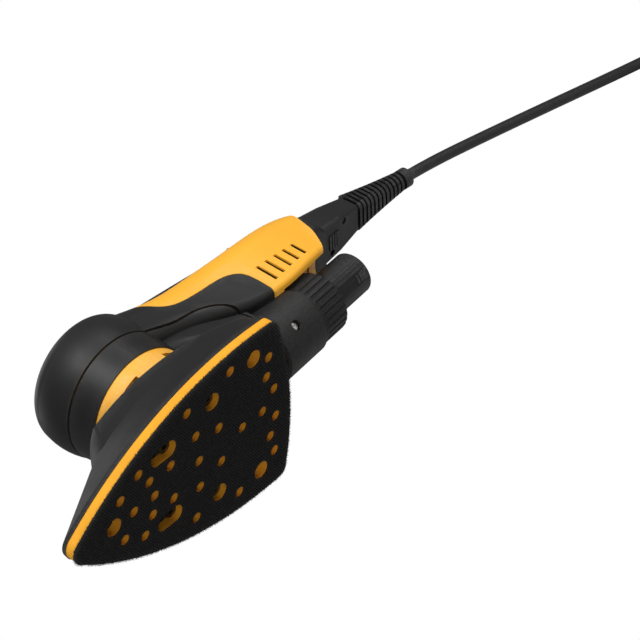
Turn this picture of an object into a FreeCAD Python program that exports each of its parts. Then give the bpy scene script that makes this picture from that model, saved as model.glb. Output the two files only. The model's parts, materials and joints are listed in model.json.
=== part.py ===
"""Orbital sander with a delta pad: motor head, rear handle, dust outlet, mains lead.

Frame: origin on the sole below the motor shaft, +Z up, -Y to the pad's tip, +Y to the handle, +X to the
tool's left. Millimetres.
"""
import math
import os

import FreeCAD
import Part

V = FreeCAD.Vector
os.makedirs("parts", exist_ok=True)

# ---- driving dimensions -------------------------------------------------------------------------------
# pad
PAD_FRONT = 96.0          # shaft to the tip
PAD_BACK = 56.0           # shaft to the middle of the rear edge
PAD_HALF = 50.0           # half of the width at the rear corners
TIP_HALF = 6.5            # half of the blunt tip's width
SHEET_T = 1.3             # hook sheet
FOAM_T = 5.3
FLOOR_T = 3.0             # floor plate of the pad base
BASE_WALL = 2.6
BASE_RIM_H = 2.6          # upright rim of the pad base, above the foam
SHOULDER_FRONT = 50.4     # crease between the pad base's skirt and its collar, at the nose
SHOULDER_FRONT_Z = 34.6
SHOULDER_NOSE_Y = -44.6   # where the crease's rounded nose meets its sides
SHOULDER_NOSE_Z = 31.0
SHOULDER_BACK_Z = 13.5
MOUTH_FRONT = 41.8        # top opening of the pad base: shaft to its front edge
MOUTH_BACK = 52.0         # and to its rear edge
MOUTH_FRONT_Z = 44.5
MOUTH_BACK_Z = 17.2
SMALL_HOLE_R = 2.9
BIG_HOLE_R = 4.9
SLOT_LENGTH = 17.5
# motor and its seat
ORBIT = 1.5               # eccentric throw: half of the orbit
SHAFT_R = 5.0
PAD_BEARING_R = 13.0
PAD_BEARING_T = 8.0
LOW_BEARING_R = 13.0
TOP_BEARING_R = 9.5
BEARING_T = 7.0
ROTOR_R = 16.0
STATOR_R = 27.5
STATOR_H = 22.0
RING_R = 33.0             # yellow motor base, outside
RING_BOTTOM = 36.0
RING_TOP = 50.0
RING_WALL = 2.6
RING_NOTCHES = [(-24.0, 8.0, 41.5), (36.0, 16.0, 44.0)]   # (middle, half width in degrees, top), three of each
LEG_R = 4.0               # rubber pad supports
LEG_CIRCLE_R = 24.5
# head
HEAD_LOW_R = 33.8         # casing radius at its lower edge
HEAD_GROOVE_R = 35.3
HEAD_GROOVE_Z = 66.8
HEAD_R = 37.0
HEAD_TOP_Z = 95.2
CAP_R = 28.0
CAP_T = 2.8
# body walls
SKIN_T = 2.2              # outer layer: overmould, lower casing
SHELL_T = 2.2             # inner layer: housing halves
FIT = 0.1                 # clearance between the layers
SEAM = 0.3                # plain parting line
GROOVE = 1.2              # wide groove below the overmould
# handle: (y, half width below, half width above, bottom, top, lower corner radius, upper corner radius)
HANDLE = [
    (8.0, 31.0, 33.0, 62.0, 94.0, 9.0, 12.0),
    (27.0, 26.5, 29.0, 60.0, 94.0, 9.0, 13.0),
    (46.0, 24.0, 25.5, 57.0, 92.0, 9.0, 13.0),
    (74.0, 22.5, 26.5, 45.0, 91.0, 5.0, 15.0),
    (100.0, 23.8, 28.0, 40.5, 90.0, 2.8, 16.0),
    (126.0, 23.6, 27.0, 44.0, 90.0, 2.8, 15.0),
    (150.0, 21.5, 23.5, 46.0, 86.0, 2.8, 13.0),
]
# side view of the handle's curved rear edge
REAR_LINE = [(149.0, 92.0), (149.0, 82.0), (148.5, 76.0), (147.2, 69.7), (145.2, 61.3), (141.2, 52.9),
             (136.1, 44.5), (130.5, 36.0)]
# dust duct: (y, half width, bottom, top, lower corner radius, upper corner radius)
DUCT = [
    (16.0, 22.0, 43.5, 66.0, 9.0, 9.0),
    (40.0, 20.0, 44.0, 66.0, 9.0, 9.0),
    (56.0, 18.5, 31.0, 64.0, 10.0, 9.0),
    (74.0, 18.2, 17.0, 58.0, 14.0, 9.0),
]
# dust outlet
OUTLET_Y = 100.7          # joint between the barrel and the swivel collar
OUTLET_Z = 34.0
OUTLET_TILT = 4.8         # degrees, rising to the rear
BARREL_R = 19.4
BARREL_L = 31.0
BARREL_WALL = 2.6
TUBE_R = 12.4             # hose connector, outside
TUBE_WALL = 2.2
TUBE_L = 50.5             # from the barrel's end to the tube's end
COLLAR_R = 18.2
COLLAR_L = 24.0
COLLAR_GAP = 0.6
RUN_FIT = 0.08            # radial clearance of the running fits
COLLAR_RIBS = 30
HOSE_SLOTS = (39.6, 42.6)   # places of the two hose catches along the tube
# vents
SLOT_COUNT = 5
SLOT_FIRST_Y = 99.5
SLOT_PITCH = 6.6
SLOT_W = 2.2
SLOT_TOP_Z = 59.5
SLOT_LOW_Z = 45.4
SCREEN_DEPTH = 2.8        # from the handle's outside to the screens in the slots
# lever and buttons
LEVER_FRONT_Y = 34.0
LEVER_PIVOT_Y = 108.0
LEVER_PIVOT_Z = 87.2
LEVER_HALF = 15.5
LEVER_T = 2.0
LEVER_FRONT_Z = 93.4      # underside of the lever at its front end
LEVER_MID_Z = 90.3        # and above its foot
LEVER_BARREL_R = 2.4
FOOT_Y = 72.0             # foot that presses the switch
FOOT_Z = 84.2
SWITCH_TOP_Z = 81.6
SPRING_Y = 56.0
SPRING_TOP_Z = 90.6
POCKET_Z = 86.0           # floor of the lever's pocket
POCKET_FLOOR = 1.8
PIN_R = 1.5
PIN_HALF = 19.0
KEYPAD_Y = (115.0, 142.0)
KEYPAD_HALF = 12.0
KEYPAD_TILT_Z = (89.8, 87.0)  # top of the keypad plate at its front and rear
KEYPAD_T = 1.5
LENS_R = 1.5
LENS_Y = 138.5
POWER_R = 4.3
SPEED_R = 3.2
BUTTON_RISE = 0.7
BOSS_SPOTS = [(58.0, 78.5), (90.0, 78.5), (134.0, 75.0)]
BOSS_R = 3.6
CASE_SCREW_R = 1.5
# mains inlet, lead plug and lead
INLET_Y = 139.0           # front of the inlet housing, inside the handle
HANDLE_END_Y = 149.5
INLET_END_Y = 158.5
PLUG_END_Y = 192.0
PLUG_AXIS_Z = 75.2
LEAD_D = 6.8
LATCH_HALF = 4.6
RELIEF_L = 49.0
RELIEF_TILT = 4.0         # degrees, drooping to the rear
RELIEF_RIBS = 12
# lead laid out to the rear, its stored length in a tied coil, and the mains plug
REST_Z = 1.0              # underside of the coil: the tie's thickness
COIL_Y = 490.0
COIL_PITCH = 1.04 * LEAD_D
COIL_LAYERS = 4
COIL_LAYER_TURNS = 4
COIL_STEP = 0.25          # share of a turn in which the cord steps to the next layer
COIL_IN_R = 27.5          # innermost turn, at the cord's middle
COIL_OUT_R = COIL_IN_R + (COIL_LAYER_TURNS - COIL_STEP) * COIL_PITCH
COIL_X = -COIL_OUT_R
COIL_LOW_Z = REST_Z + LEAD_D / 2
COIL_TOP_Z = COIL_LOW_Z + (COIL_LAYERS - 1) * COIL_PITCH
MAINS_PLUG_TURN = 15.0    # degrees from +Y
PLUG_BODY_L = 48.0
PLUG_PIN_L = 19.0
# derived heights and fixings
FOAM_Z = SHEET_T
BASE_Z = SHEET_T + FOAM_T
FLOOR_Z = BASE_Z + FLOOR_T
CARRIER_T = 3.0
CARRIER_R = 38.0
HUB_R = PAD_BEARING_R + 3.0
HUB_TOP = FLOOR_Z + 1.5 + PAD_BEARING_T + 1.0
SCREW_SPOTS = [(20.9, -30.0), (-20.9, -30.0), (29.4, 1.3), (-29.4, 1.3)]
SCREW_R = 2.0
SCREW_HEAD_R = 3.6
LEG_ANGLES = [45, 135, 225, 315]
LOW_BEARING_Z = 43.0
STATOR_Z = 57.5
TOP_BEARING_Z = 82.5
WEIGHT_Z = 27.0
WEIGHT_T = 9.0
PORT_HALF = 8.0
CAN_R = HEAD_LOW_R - SKIN_T - FIT - SHELL_T - FIT
CAN_Z = RING_TOP + 4.0
CAN_TOP = TOP_BEARING_Z + 5.0


def save(name, shape):
    """Write one node. Every node is a set of closed, valid solids."""
    solids = shape.Solids
    for s in solids:
        if not s.isValid() or s.Volume <= 0:
            raise ValueError(name + " is not a valid solid")
    part = solids[0] if len(solids) == 1 else Part.makeCompound(solids)
    part.exportStep("parts/" + name + ".step")
    print("%-18s solids %2d volume %9.1f" % (name, len(solids), part.Volume))
    return part


# ---- small helpers ------------------------------------------------------------------------------------
def cyl(r, z0, z1, x=0.0, y=0.0):
    return Part.makeCylinder(r, z1 - z0, V(x, y, z0))


def rod(r, p0, p1):
    d = p1 - p0
    return Part.makeCylinder(r, d.Length, p0, d)


def block(x0, x1, y0, y1, z0, z1):
    return Part.makeBox(x1 - x0, y1 - y0, z1 - z0, V(x0, y0, z0))


def arc(a, b, c):
    return Part.Arc(a, b, c).toShape()


def line(a, b):
    return Part.LineSegment(a, b).toShape()


def revolve(points, centre=V(0, 0, 0), axis=V(0, 0, 1)):
    """Turn a closed (radius, height) outline about Z; axis and centre place the result."""
    vs = [V(r, 0, z) for r, z in points]
    body = Part.Face(Part.makePolygon(vs + [vs[0]])).revolve(V(0, 0, 0), V(0, 0, 1), 360)
    turn = FreeCAD.Rotation(V(0, 0, 1), axis)
    body.Placement = FreeCAD.Placement(centre, turn)
    return body


def fuse(shapes):
    out = shapes[0].multiFuse(shapes[1:]) if len(shapes) > 1 else shapes[0]
    return out.removeSplitter()


def largest(shape):
    """The main solid of a cut shape, without its offcuts."""
    return max(shape.Solids, key=lambda s: s.Volume)


def rounded(corners, radii):
    """Closed outline through the corners, each rounded with its own radius."""
    ends = []
    count = len(corners)
    for i, (c, r) in enumerate(zip(corners, radii)):
        back = (corners[i - 1] - c).normalize()
        ahead = (corners[(i + 1) % count] - c).normalize()
        half = back.getAngle(ahead) / 2
        run = r / math.tan(half)
        middle = c + (back + ahead).normalize() * (r / math.sin(half) - r)
        ends.append((c + back * run, middle, c + ahead * run))
    edges = []
    for i, (first, middle, last) in enumerate(ends):
        edges.append(arc(first, middle, last))
        edges.append(line(last, ends[(i + 1) % count][0]))
    return Part.Wire(edges)


def section(y, low, high, z0, z1, r0, r1, inset):
    """Section across the tool at y: half widths and corner radii below and above."""
    low, high, z0, z1 = low - inset, high - inset, z0 + inset, z1 - inset
    r0, r1 = max(r0 - inset, 0.8), max(r1 - inset, 0.8)
    corners = [V(-low, y, z0), V(low, y, z0), V(high, y, z1), V(-high, y, z1)]
    return rounded(corners, [r0, r0, r1, r1])


def sloped_loft(rows, inset=0.0):
    """Smooth loft through sections with their own lower and upper half widths."""
    return Part.makeLoft([section(*row, inset) for row in rows], True, False)


def loft(rows, inset=0.0, ruled=False):
    """Loft through upright-sided sections: (y, half width, bottom, top, lower and upper corner radius)."""
    return Part.makeLoft([section(y, w, w, *rest, inset) for y, w, *rest in rows], True, ruled)


def side_prism(points, closing):
    """Prism across the tool whose side view is a smooth curve through points, closed by straight runs."""
    curve = Part.BSplineCurve()
    curve.interpolate([V(-80, y, z) for y, z in points])
    last = points[-1]
    corners = [V(-80, y, z) for y, z in [last] + closing + [points[0]]]
    edges = [curve.toShape()]
    edges += [line(a, b) for a, b in zip(corners, corners[1:])]
    return Part.Face(Part.Wire(edges)).extrude(V(160, 0, 0))


# ---- body outlines ------------------------------------------------------------------------------------
def head(inset):
    """Round motor head as a turned solid, smaller by inset all over."""
    low, groove, wide = HEAD_LOW_R - inset, HEAD_GROOVE_R - inset, HEAD_R - inset
    top = HEAD_TOP_Z - inset
    p = [V(0, 0, RING_TOP), V(low, 0, RING_TOP), V(groove, 0, HEAD_GROOVE_Z),
         V(wide, 0, 77.0), V(wide - 1.0, 0, 86.5), V(wide - 3.9, 0, top - 2.6), V(CAP_R - inset, 0, top),
         V(0, 0, top)]
    edges = [line(p[0], p[1]), line(p[1], p[2]), arc(p[2], p[3], p[4]), arc(p[4], p[5], p[6]),
             line(p[6], p[7]), line(p[7], p[0])]
    return Part.Face(Part.Wire(edges)).revolve(V(0, 0, 0), V(0, 0, 1), 360)


def outlet_point(along, across=V(0, 0, 0)):
    """Point on the outlet's axis, measured from the barrel's end."""
    return V(0, OUTLET_Y, OUTLET_Z) + OUTLET_AXIS * along + across


OUTLET_AXIS = V(0, math.cos(math.radians(OUTLET_TILT)), math.sin(math.radians(OUTLET_TILT)))
OUTLET_UP = V(0, -OUTLET_AXIS.z, OUTLET_AXIS.y)


def body(inset):
    """Head, handle and duct as one outline, smaller by inset."""
    return fuse([head(inset), sloped_loft(HANDLE, inset), loft(DUCT, inset)])


# side view of the line between the yellow shells and the overmould, from the front to the outlet
YELLOW_LINE = [(22.0, 99.5), (28.0, 94.8), (34.5, 88.4), (40.0, 80.8), (46.9, 74.2), (58.4, 70.9),
               (73.5, 69.2), (83.4, 67.0), (90.0, 62.0), (92.0, 54.0), (92.0, 42.0), (92.0, 28.0)]
# side view of the groove between the overmould and the lower casing
GROOVE_LINE = [(14.0, HEAD_GROOVE_Z), (28.0, 66.0), (42.0, 63.5), (54.0, 62.0), (64.0, 57.5),
               (70.5, 49.0), (73.0, 38.0), (73.5, 26.0)]


def yellow_region(shift=0.0):
    points = [(y + shift, z + shift) for y, z in YELLOW_LINE]
    return side_prism(points, [(points[-1][0], -5.0), (220.0, -5.0), (220.0, 130.0), (points[0][0], 130.0)])


def rear_region(shift=0.0):
    """Everything behind the handle's rear edge."""
    points = [(y + shift, z) for y, z in REAR_LINE]
    return side_prism(points, [(220.0, points[-1][1]), (220.0, points[0][1])])


def casing_region(shift=0.0):
    points = [(y - shift * 0.7, z - shift) for y, z in GROOVE_LINE]
    return side_prism(points, [(73.5 - shift * 0.7, -5.0), (-90.0, -5.0), (-90.0, HEAD_GROOVE_Z - shift)])


def barrel_space():
    """Space of the separate outlet barrel, below the overmould and behind the lower casing."""
    return rod(BARREL_R + FIT, outlet_point(-BARREL_L - SEAM), outlet_point(4.0))


# ---- pad ----------------------------------------------------------------------------------------------
def pad_outline(inset=0.0, z0=0.0):
    """Pointed outline with bowed sides at height z0."""
    def at(x, y):
        return V(x, y, z0)
    half, front, back = PAD_HALF - inset, -PAD_FRONT + 1.6 * inset, PAD_BACK - inset
    tip = max(TIP_HALF - 0.4 * inset, 3.0)
    reach = PAD_FRONT + PAD_BACK
    side0 = (tip, front + 3.6)
    side1 = (0.806 * PAD_HALF - 0.95 * inset, -PAD_FRONT + 0.435 * reach + 0.3 * inset)
    side2 = (half + 0.3, back - 12.0)
    corner = (half - 0.6, back - 8.2)
    rear0 = (half - 4.0, back - 6.0)
    right = [arc(at(*side0), at(*side1), at(*side2)), arc(at(*side2), at(*corner), at(*rear0))]
    rear = arc(at(*rear0), at(0, back), at(-rear0[0], rear0[1]))
    left = [arc(at(-rear0[0], rear0[1]), at(-corner[0], corner[1]), at(-side2[0], side2[1])),
            arc(at(-side2[0], side2[1]), at(-side1[0], side1[1]), at(-side0[0], side0[1]))]
    nose = arc(at(-side0[0], side0[1]), at(0, front), at(*side0))
    return Part.Wire([nose] + right + [rear] + left)


def hood_outline(front, nose, side, back_half, back, height):
    """Closed outline in six arcs, one for each edge of the pad outline; height(y) gives each point's z."""
    half = [(0.0, front), nose, side, (back_half, back - 10.4), (back_half - 0.9, back - 7.0),
            (back_half - 4.4, back - 4.4), (0.0, back)]
    right = [V(x, y, height(y)) for x, y in half]
    left = [V(-x, y, height(y)) for x, y in half]
    return Part.Wire([arc(left[1], right[0], right[1]), arc(right[1], right[2], right[3]),
                      arc(right[3], right[4], right[5]), arc(right[5], right[6], left[5]),
                      arc(left[5], left[4], left[3]), arc(left[3], left[2], left[1])])


def slope_z(y, y0, z0, y1, z1):
    return z0 + (z1 - z0) * (y - y0) / (y1 - y0)


def shoulder_z(y):
    """Height of the crease: steep behind the nose, then gently falling to the rear."""
    if y < SHOULDER_NOSE_Y:
        return slope_z(y, -SHOULDER_FRONT, SHOULDER_FRONT_Z, SHOULDER_NOSE_Y, SHOULDER_NOSE_Z)
    return slope_z(y, SHOULDER_NOSE_Y, SHOULDER_NOSE_Z, MOUTH_BACK, SHOULDER_BACK_Z)


def shoulder(inset):
    """Crease of the pad base, smaller by inset all round."""
    return hood_outline(-SHOULDER_FRONT + 1.3 * inset, (16.0 - 0.5 * inset, SHOULDER_NOSE_Y + 0.9 * inset),
                        (38.8 - inset, -12.0 + 0.3 * inset), PAD_HALF - 3.2 - inset, PAD_BACK - 2.2 - inset,
                        shoulder_z)


def mouth(inset, rise=0.0):
    """Level-sided top edge of the pad base, smaller by inset all round and higher by rise."""
    def height(y):
        return rise + slope_z(y, -MOUTH_FRONT, MOUTH_FRONT_Z, MOUTH_BACK, MOUTH_BACK_Z)
    return hood_outline(-MOUTH_FRONT + inset, (17.5 - 0.5 * inset, -38.2 + inset),
                        (37.6 - inset, -7.9 + 0.2 * inset), PAD_HALF - 4.4 - inset, MOUTH_BACK - inset, height)


# dust holes, right half: (x, y, kind)
AXIS_HOLES = [(-69.6, "big"), (-56.2, "small"), (-42.1, "small"), (-10.9, "small"), (20.4, "small"),
              (35.5, "small")]
PAIR_HOLES = [(12.4, -63.9, "small"), (19.6, -50.9, "small"), (10.6, -44.5, "small"), (20.9, -33.7, "slot"),
              (10.5, -29.9, "small"), (33.8, -16.1, "small"), (16.3, -11.8, "small"), (29.4, 1.3, "big"),
              (10.8, 4.2, "small"), (39.3, 15.0, "small"), (36.3, 31.7, "big"), (19.4, 40.0, "small"),
              (30.5, 42.4, "small"), (8.8, 44.8, "small")]


def hole(x, y, kind, z0, z1):
    if kind != "slot":
        return cyl(BIG_HOLE_R if kind == "big" else SMALL_HOLE_R, z0, z1, x, y)
    half = SLOT_LENGTH / 2 - BIG_HOLE_R
    return fuse([cyl(BIG_HOLE_R, z0, z1, x, y - half), cyl(BIG_HOLE_R, z0, z1, x, y + half),
                 block(x - BIG_HOLE_R, x + BIG_HOLE_R, y - half, y + half, z0, z1)])


def pad_holes(z0, z1):
    holes = [hole(0, y, kind, z0, z1) for y, kind in AXIS_HOLES]
    for side in (1, -1):
        holes += [hole(side * x, y, kind, z0, z1) for x, y, kind in PAIR_HOLES]
    return Part.makeCompound(holes)


def leg_spot(deg):
    a = math.radians(deg)
    return LEG_CIRCLE_R * math.cos(a), ORBIT + LEG_CIRCLE_R * math.sin(a)


def make_pad():
    sheet = Part.Face(pad_outline()).extrude(V(0, 0, SHEET_T))
    save("hook_sheet", sheet.cut(pad_holes(-1, SHEET_T + 1)))
    foam = Part.Face(pad_outline(0.3, FOAM_Z)).extrude(V(0, 0, FOAM_T))
    save("pad_foam", foam.cut(pad_holes(0, BASE_Z + 1)))

    rim_z = BASE_Z + BASE_RIM_H
    outer = Part.makeLoft([pad_outline(0, BASE_Z), pad_outline(0.3, rim_z), shoulder(0.0), mouth(0.0)], True, True)
    inner = Part.makeLoft([pad_outline(BASE_WALL, FLOOR_Z), pad_outline(BASE_WALL + 0.3, FLOOR_Z + 0.4),
                           shoulder(BASE_WALL), mouth(BASE_WALL), mouth(BASE_WALL, 4.0)], True, True)
    base = outer.cut(inner).cut(pad_holes(BASE_Z - 1, FLOOR_Z + 1))
    for x, y in SCREW_SPOTS:
        bridge = block(x - 5.5, x + 5.5, y - 3.4, y + 3.4, BASE_Z, FLOOR_Z)
        base = base.fuse(bridge).cut(cyl(SCREW_R + 0.1, BASE_Z - 1, FLOOR_Z + 1, x, y))
    save("pad_base", base.removeSplitter())

    plate = cyl(CARRIER_R, FLOOR_Z, FLOOR_Z + CARRIER_T, 0, 0)
    hub = cyl(HUB_R, FLOOR_Z, HUB_TOP, 0, ORBIT)
    carrier = plate.fuse(hub)
    carrier = carrier.cut(cyl(PAD_BEARING_R, FLOOR_Z + 1.5, HUB_TOP + 1, 0, ORBIT))
    carrier = carrier.cut(cyl(PAD_BEARING_R - 3, FLOOR_Z - 1, HUB_TOP + 1, 0, ORBIT))
    for x, y in SCREW_SPOTS:
        carrier = carrier.cut(cyl(SCREW_R, FLOOR_Z - 1, FLOOR_Z + CARRIER_T + 1, x, y))
    for deg in (0, 90, 180, 270):
        a = math.radians(deg + 12)
        spot = (0.78 * CARRIER_R * math.cos(a), 0.78 * CARRIER_R * math.sin(a))
        if min(math.hypot(spot[0] - x, spot[1] - y) for x, y in SCREW_SPOTS) > 9:
            carrier = carrier.cut(cyl(4.5, FLOOR_Z - 1, FLOOR_Z + CARRIER_T + 1, *spot))
    save("pad_carrier", carrier)

    screws = []
    for x, y in SCREW_SPOTS:
        head_disc = cyl(SCREW_HEAD_R, BASE_Z - 2.6, BASE_Z, x, y).cut(cyl(1.4, BASE_Z - 3, BASE_Z - 1.2, x, y))
        screws.append(head_disc.fuse(cyl(SCREW_R, BASE_Z - 0.5, FLOOR_Z + CARRIER_T, x, y)).removeSplitter())
    save("pad_screws", Part.makeCompound(screws))

    z0 = FLOOR_Z + 1.5
    ring = cyl(PAD_BEARING_R, z0, z0 + PAD_BEARING_T, 0, ORBIT)
    ring = ring.cut(cyl(SHAFT_R + RUN_FIT, z0 - 1, z0 + PAD_BEARING_T + 1, 0, ORBIT))
    save("pad_bearing", ring)

    legs = []
    for deg in LEG_ANGLES:
        x, y = leg_spot(deg)
        foot = cyl(LEG_R + 1.6, FLOOR_Z + CARRIER_T, FLOOR_Z + CARRIER_T + 3.0, x, y)
        legs.append(foot.fuse(cyl(LEG_R, FLOOR_Z + CARRIER_T, RING_TOP - 3.0, x, y)).removeSplitter())
    save("pad_supports", Part.makeCompound(legs))


# ---- motor --------------------------------------------------------------------------------------------
def ring_sector(middle, half, r0, r1, z0, z1):
    """Piece of a ring about the shaft, from middle - half to middle + half degrees."""
    wedge = Part.makeCylinder(r1, z1 - z0, V(0, 0, z0), V(0, 0, 1), 2 * half)
    wedge = wedge.cut(cyl(r0, z0 - 1, z1 + 1))
    wedge.rotate(V(0, 0, 0), V(0, 0, 1), middle - half)
    return wedge


def make_motor():
    seat = cyl(RING_R, RING_BOTTOM, RING_TOP)
    seat = seat.cut(cyl(RING_R - RING_WALL, RING_BOTTOM - 1, LOW_BEARING_Z - 1.0))
    seat = seat.fuse(cyl(CAN_R, RING_TOP, CAN_Z))
    seat = seat.cut(cyl(LOW_BEARING_R, LOW_BEARING_Z, RING_TOP + 5))
    seat = seat.cut(cyl(SHAFT_R + 3, RING_BOTTOM - 1, RING_TOP + 5))
    for deg in LEG_ANGLES:
        x, y = leg_spot(deg)
        seat = seat.cut(cyl(LEG_R + 2 * ORBIT + 0.4, RING_BOTTOM - 1, RING_TOP - 2.0, x, y - ORBIT))
    for middle, half, top in RING_NOTCHES:
        for turn in (0.0, 120.0, 240.0):
            notch = ring_sector(middle + turn, half, RING_R - RING_WALL - 0.4, RING_R + 1.0, RING_BOTTOM - 1.0, top)
            seat = seat.cut(notch)
    # dust port from the chamber under the motor into the duct
    port = block(-PORT_HALF, PORT_HALF, RING_R - 15.0, RING_R + 2.0, LOW_BEARING_Z - 1.5, RING_TOP - 0.6)
    seat = seat.cut(port)
    save("motor_base", seat.removeSplitter())

    bearing = cyl(LOW_BEARING_R, LOW_BEARING_Z, LOW_BEARING_Z + BEARING_T)
    save("lower_bearing", bearing.cut(cyl(SHAFT_R + RUN_FIT, LOW_BEARING_Z - 1, LOW_BEARING_Z + BEARING_T + 1)))
    bearing = cyl(TOP_BEARING_R, TOP_BEARING_Z, TOP_BEARING_Z + 5.0)
    save("upper_bearing", bearing.cut(cyl(SHAFT_R + RUN_FIT, TOP_BEARING_Z - 1, TOP_BEARING_Z + 6.0)))

    pin = cyl(SHAFT_R, FLOOR_Z + 2.2, WEIGHT_Z - 1.5, 0, ORBIT)
    shaft = pin.fuse(cyl(SHAFT_R + 4.0, WEIGHT_Z - 2.0, WEIGHT_Z))
    shaft = shaft.fuse(cyl(SHAFT_R, WEIGHT_Z - 1.0, TOP_BEARING_Z + 4.5))
    save("eccentric_shaft", shaft.removeSplitter())

    weight = cyl(17.0, WEIGHT_Z, WEIGHT_Z + WEIGHT_T).cut(cyl(SHAFT_R, WEIGHT_Z - 1, WEIGHT_Z + WEIGHT_T + 1))
    keep = block(-18, 18, -18, 4.0, WEIGHT_Z - 1, WEIGHT_Z + WEIGHT_T + 1)
    collar = cyl(9.0, WEIGHT_Z, WEIGHT_Z + WEIGHT_T).cut(cyl(SHAFT_R, WEIGHT_Z - 1, WEIGHT_Z + WEIGHT_T + 1))
    save("counterweight", weight.common(keep).fuse(collar).removeSplitter())

    core = cyl(ROTOR_R - 2.5, STATOR_Z, STATOR_Z + STATOR_H)
    save("rotor_core", core.cut(cyl(SHAFT_R, STATOR_Z - 1, STATOR_Z + STATOR_H + 1)))
    magnets = []
    for k in range(4):
        quarter = cyl(ROTOR_R, STATOR_Z, STATOR_Z + STATOR_H)
        quarter = quarter.cut(cyl(ROTOR_R - 2.5, STATOR_Z - 1, STATOR_Z + STATOR_H + 1))
        wedge = block(0.5, 30, 0.5, 30, STATOR_Z - 1, STATOR_Z + STATOR_H + 1)
        wedge.rotate(V(0, 0, 0), V(0, 0, 1), 90.0 * k)
        magnets.append(quarter.common(wedge))
    save("rotor_magnets", Part.makeCompound(magnets))

    ring = cyl(STATOR_R, STATOR_Z, STATOR_Z + STATOR_H).cut(cyl(22.5, STATOR_Z - 1, STATOR_Z + STATOR_H + 1))
    teeth = []
    coils = []
    for k in range(6):
        tooth = block(-2.6, 2.6, ROTOR_R + 1.0, 23.5, STATOR_Z, STATOR_Z + STATOR_H)
        winding = block(-5.0, 5.0, ROTOR_R + 2.0, 21.8, STATOR_Z - 3.0, STATOR_Z + STATOR_H + 3.0)
        winding = winding.cut(block(-2.7, 2.7, ROTOR_R, 23, STATOR_Z - 0.1, STATOR_Z + STATOR_H + 0.1))
        for shape in (tooth, winding):
            shape.rotate(V(0, 0, 0), V(0, 0, 1), 60.0 * k)
        teeth.append(tooth)
        coils.append(winding)
    save("stator_core", fuse([ring] + teeth))

    can = cyl(CAN_R, CAN_Z, CAN_TOP).cut(cyl(STATOR_R, CAN_Z - 1, CAN_TOP - 4.0))
    can = can.cut(cyl(TOP_BEARING_R, TOP_BEARING_Z, CAN_TOP + 1)).cut(cyl(TOP_BEARING_R - 2, CAN_Z, CAN_TOP + 1))
    save("motor_can", can)
    save("stator_windings", Part.makeCompound(coils))


# ---- body shells --------------------------------------------------------------------------------------
def side_slots():
    """Upright vent slots through both sides of the handle."""
    slots = []
    for k in range(SLOT_COUNT):
        y = SLOT_FIRST_Y + k * SLOT_PITCH
        low, high = SLOT_LOW_Z + 0.75 * k, SLOT_TOP_Z - 0.2 * k
        for side in (1, -1):
            x0, x1 = (18.0, 34.0) if side > 0 else (-34.0, -18.0)
            bar = block(x0, x1, y - SLOT_W / 2, y + SLOT_W / 2, low, high)
            slots.append(bar)
    return Part.makeCompound(slots)


def collar_recess(extra):
    """Round channel in the handle's underside over the swivel collar and tube."""
    return rod(COLLAR_R + 2.4 + extra, outlet_point(-1.0), outlet_point(90.0))


def top_pocket():
    """Shallow pocket in the handle's top for the lever, with a groove for its hinge barrel."""
    flat = block(-LEVER_HALF - 0.8, LEVER_HALF + 0.8, LEVER_FRONT_Y - 2.0, LEVER_PIVOT_Y + 4.0, POCKET_Z, 110.0)
    groove = rod(LEVER_BARREL_R + 0.4, V(-LEVER_HALF - 0.8, LEVER_PIVOT_Y, LEVER_PIVOT_Z),
                 V(LEVER_HALF + 0.8, LEVER_PIVOT_Y, LEVER_PIVOT_Z))
    foot = block(-4.0, 4.0, FOOT_Y - 4.0, FOOT_Y + 4.0, 80.0, 110.0)
    return fuse([flat, groove, foot])


def pocket_tray():
    """Material below the lever's pocket, before the pocket is cut."""
    half = LEVER_HALF + 0.8 + POCKET_FLOOR
    tray = block(-half, half, LEVER_FRONT_Y - 3.4, LEVER_PIVOT_Y + 5.4, POCKET_Z - POCKET_FLOOR, 110.0)
    low = LEVER_PIVOT_Z - LEVER_BARREL_R - 0.4 - POCKET_FLOOR
    return tray.fuse(block(-half, half, LEVER_PIVOT_Y - 5.0, LEVER_PIVOT_Y + 5.4, low, 110.0))


def lever_pin(extra):
    return rod(PIN_R + extra, V(-PIN_HALF - extra, LEVER_PIVOT_Y, LEVER_PIVOT_Z),
               V(PIN_HALF + extra, LEVER_PIVOT_Y, LEVER_PIVOT_Z))


def tilted_plate(half, y0, y1, z0, z1, depth):
    """Plate across the tool whose top slopes from z0 at y0 to z1 at y1."""
    p = [V(-half, y0, z0), V(-half, y1, z1), V(-half, y1, z1 - depth), V(-half, y0, z0 - depth)]
    return Part.Face(Part.makePolygon(p + [p[0]])).extrude(V(2 * half, 0, 0))


def keypad_z(y):
    """Height of the keypad's top at y."""
    return slope_z(y, KEYPAD_Y[0], KEYPAD_TILT_Z[0], KEYPAD_Y[1], KEYPAD_TILT_Z[1])


def keypad_plate():
    return tilted_plate(KEYPAD_HALF, *KEYPAD_Y, *KEYPAD_TILT_Z, KEYPAD_T)


def keypad_recess():
    """Space for the keypad plate, open upwards."""
    slope = keypad_z(1.0) - keypad_z(0.0)
    above = 12.0
    front_z, rear_z = KEYPAD_TILT_Z[0] - slope * FIT + above, KEYPAD_TILT_Z[1] + slope * FIT + above
    return tilted_plate(KEYPAD_HALF + FIT, KEYPAD_Y[0] - FIT, KEYPAD_Y[1] + FIT, front_z, rear_z,
                        above + KEYPAD_T + FIT)


KEY_SPOTS = {"power_button": (0.0, 121.5, POWER_R), "speed_up_button": (6.0, 131.5, SPEED_R),
             "speed_down_button": (-6.0, 131.5, SPEED_R)}


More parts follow.
